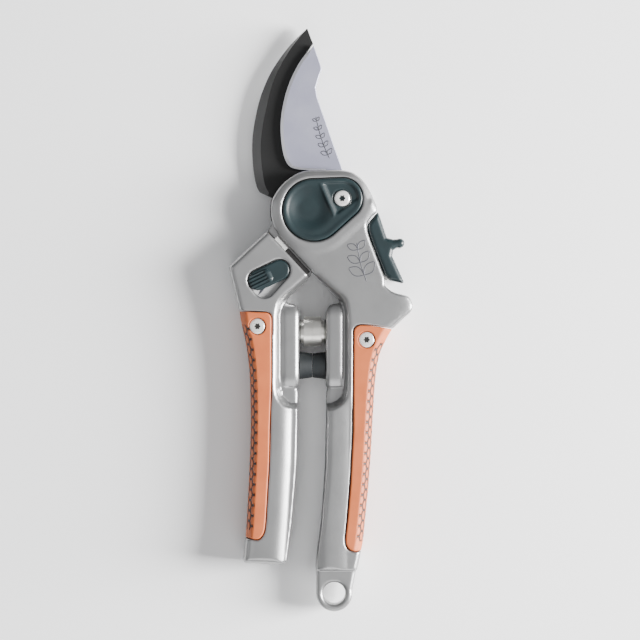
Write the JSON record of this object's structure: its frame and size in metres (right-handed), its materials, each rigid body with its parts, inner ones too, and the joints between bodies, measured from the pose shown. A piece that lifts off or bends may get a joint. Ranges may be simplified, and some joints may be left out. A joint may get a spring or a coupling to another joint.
{
  "type": "pruning shears",
  "caption": "Bypass pruning shears with cast handles, a volute spring, rubber bumpers, a thumb lock and a turning selector, closed and lying on their back.",
  "frame": {"origin": "on the pivot axis, in the plane of the back face that the shears lie on", "axes": "+Y towards the tip of the blades, +Z out of the front face along the pivot, +X towards the half with the hanging loop and the lock"},
  "size_m": [0.0701, 0.2234, 0.018],
  "materials": {
    "cast_aluminium": "satin, fine cast grain",
    "coated_steel": "dark non-stick coating with a ground outer bevel",
    "ground_steel": "fine ground, polished bevel",
    "zinc_steel": "zinc plated",
    "bright_steel": "polished",
    "spring_steel": "polished strip",
    "bronze": "machined",
    "teal_plastic": "moulded, satin",
    "tan_grip": "soft moulded grip with a honeycomb band",
    "buffer_rubber": "matt",
    "pale_plastic": "moulded"
  },
  "bodies": {
    "right_half": {"right_handle": "cast_aluminium", "back_plate": "cast_aluminium", "back_plate_screws": "zinc_steel", "counter_blade": "coated_steel", "counter_blade_screws": "zinc_steel", "pivot_post": "zinc_steel", "pivot_bolt": "zinc_steel", "thrust_washer": "bronze", "pivot_cap": "teal_plastic", "cap_screw": "bright_steel", "right_grip": "tan_grip", "right_grip_screw": "bright_steel", "right_bumper": "buffer_rubber", "right_spring_seat": "zinc_steel", "slider_guide": "bright_steel", "detent_spring": "bright_steel"},
    "left_half": {"left_handle": "cast_aluminium", "cutting_blade": "ground_steel", "blade_screws": "zinc_steel", "pivot_bushing": "bronze", "left_grip": "tan_grip", "left_grip_screw": "bright_steel", "left_bumper": "buffer_rubber", "left_spring_seat": "zinc_steel", "return_spring": "spring_steel", "stop_pawl": "bright_steel", "edge_buffer": "buffer_rubber", "selector_floor": "pale_plastic"},
    "selector": {"selector_lever": "teal_plastic", "selector_pin": "zinc_steel"},
    "lock": {"lock_slider": "teal_plastic", "lock_tongue": "zinc_steel"}
  },
  "joints": [
    {"name": "handle_pivot", "type": "hinge", "parent": "right_half", "child": "left_half", "pos_m": [0, 0, 0], "axis": [0, 0, -1], "range_deg": [0, 28], "deforming": ["return_spring"]},
    {"name": "selector_turn", "type": "hinge", "parent": "left_half", "child": "selector", "pos_m": [-0.013, -0.0229, 0], "axis": [0, 0, 1], "range_deg": [0, 22]},
    {"name": "lock_slide", "type": "slide", "parent": "right_half", "child": "lock", "axis": [0.336, -0.9419, 0], "range_m": [0, 0.0035]}
  ]
}
